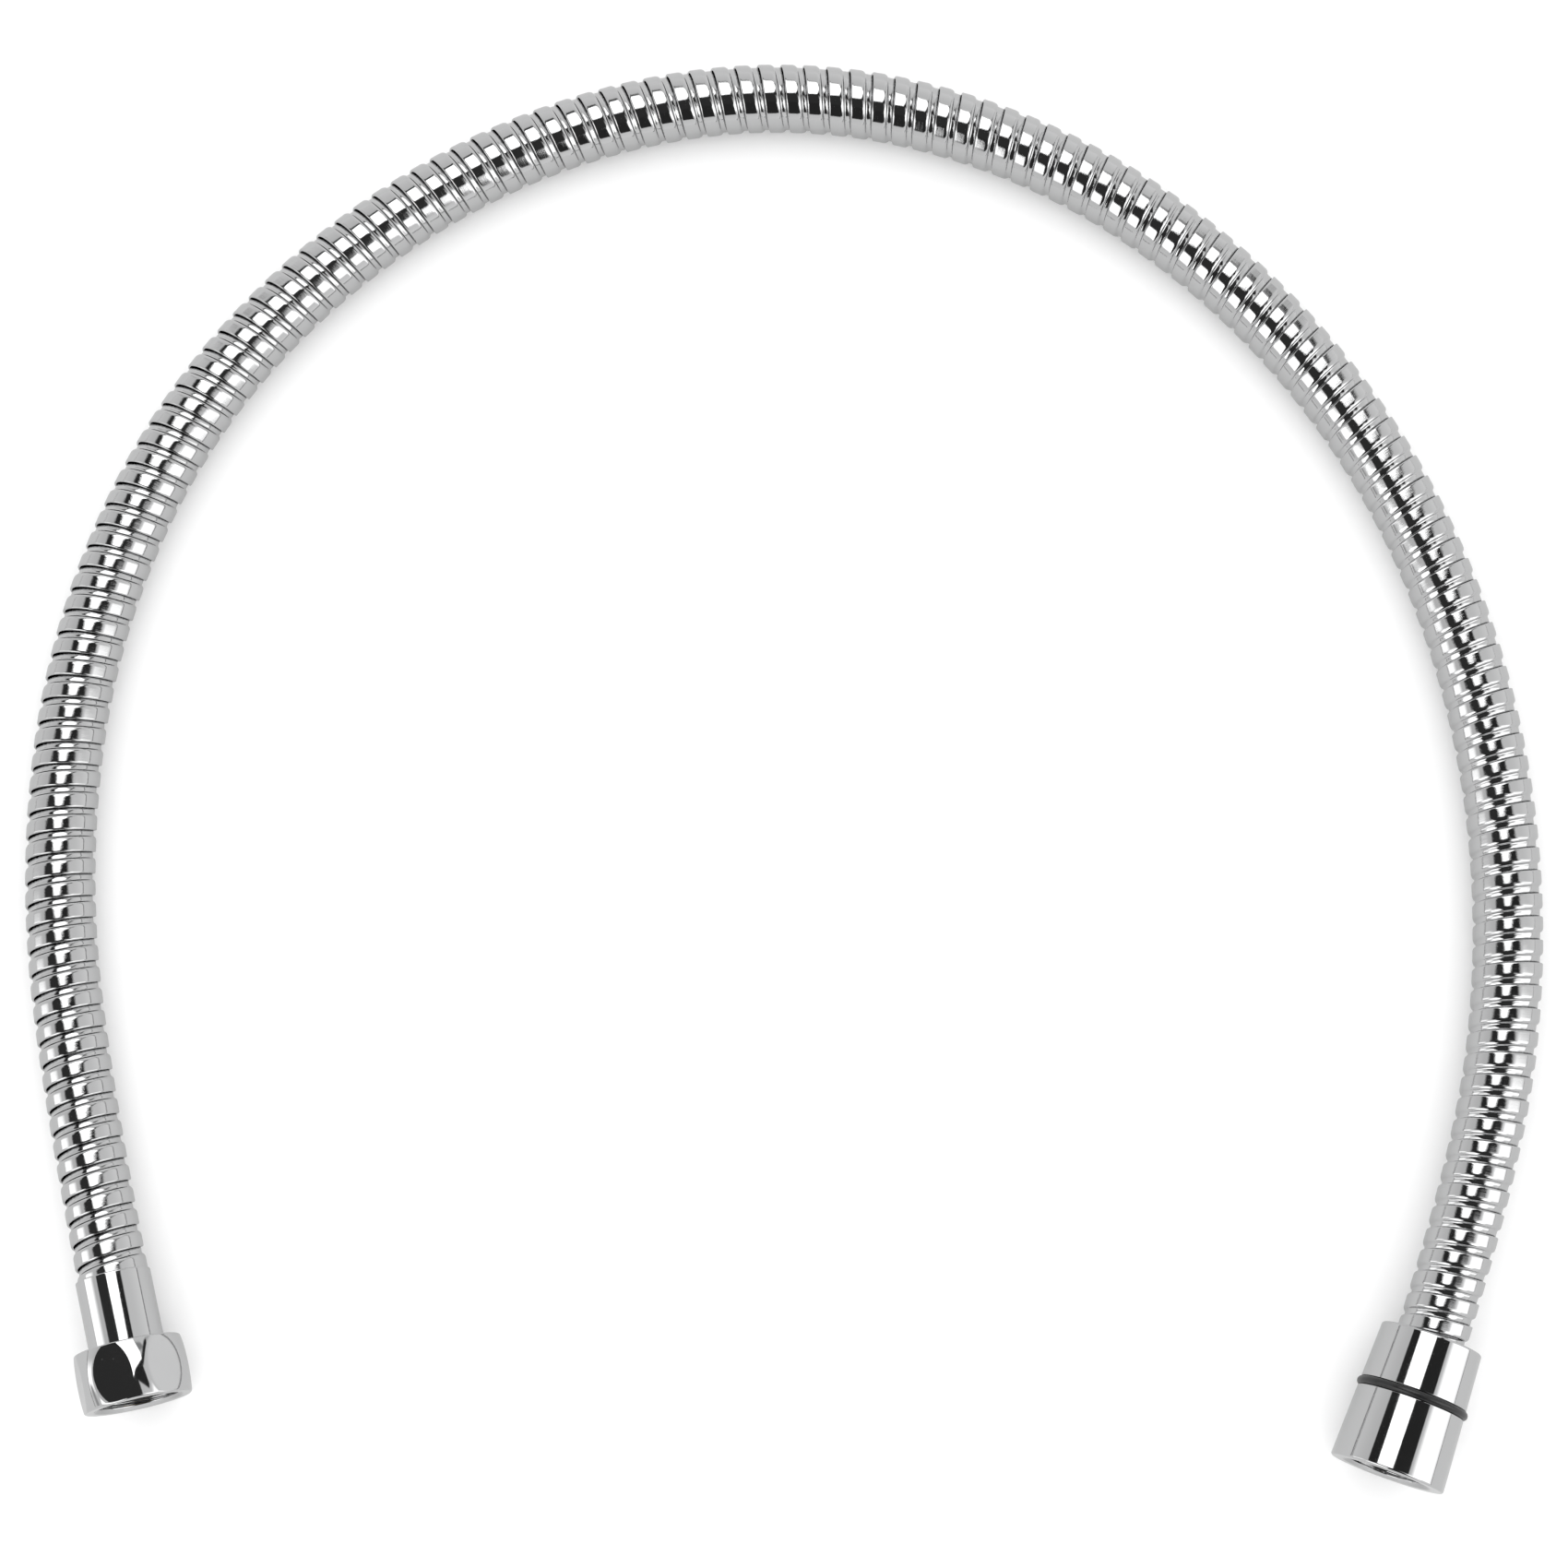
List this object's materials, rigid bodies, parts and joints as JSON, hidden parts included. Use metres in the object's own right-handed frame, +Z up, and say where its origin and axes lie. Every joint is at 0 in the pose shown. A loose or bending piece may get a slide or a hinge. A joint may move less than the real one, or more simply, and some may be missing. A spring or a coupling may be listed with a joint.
{
  "type": "flexible shower hose",
  "caption": "Flexible spiral-armoured chrome shower hose with a hexagonal union nut on one end and a conical union nut with a rubber grip ring on the other.",
  "frame": {"origin": "on the surface the hose lies on, at the middle of the box around the two end fittings", "axes": "+X from the hexagonal fitting towards the conical one, +Y from the fittings towards the top of the hose's arch, +Z up"},
  "size_m": [0.3496, 0.335, 0.0268],
  "materials": {
    "armour_chrome": "polished interlocked steel strip",
    "fitting_chrome": "polished chrome plate",
    "water_tube": "smooth flexible tube",
    "brass": "machined",
    "black_rubber": "satin",
    "nylon": "moulded"
  },
  "bodies": {
    "hose": {"armour": "armour_chrome", "inner_tube": "water_tube", "hex_sleeve": "fitting_chrome", "hex_tail": "brass", "hex_tube_clamp": "brass", "hex_washer": "black_rubber", "cone_sleeve": "fitting_chrome", "cone_tail": "brass", "cone_tube_clamp": "brass", "cone_washer": "black_rubber"},
    "hex_slider": {"hex_slip_ring": "nylon"},
    "hex_nut": {"hex_nut": "fitting_chrome"},
    "cone_slider": {"cone_slip_ring": "nylon"},
    "cone_nut": {"cone_nut": "fitting_chrome", "cone_grip_ring": "black_rubber"}
  },
  "joints": [
    {"name": "hex_nut_slide", "type": "slide", "parent": "hose", "child": "hex_slider", "axis": [-0.2364, 0.9687, -0.0759], "range_m": [0, 0.014]},
    {"name": "hex_nut_turn", "type": "hinge", "parent": "hex_slider", "child": "hex_nut", "pos_m": [-0.14526, 0.00253, 0.0125], "axis": [0.2364, -0.9687, 0.0759], "continuous": true},
    {"name": "cone_nut_slide", "type": "slide", "parent": "hose", "child": "cone_slider", "axis": [0.3489, 0.936, -0.0471], "range_m": [0, 0.014]},
    {"name": "cone_nut_turn", "type": "hinge", "parent": "cone_slider", "child": "cone_nut", "pos_m": [0.14165, -0.00994, 0.01309], "axis": [-0.3489, -0.936, 0.0471], "continuous": true}
  ]
}
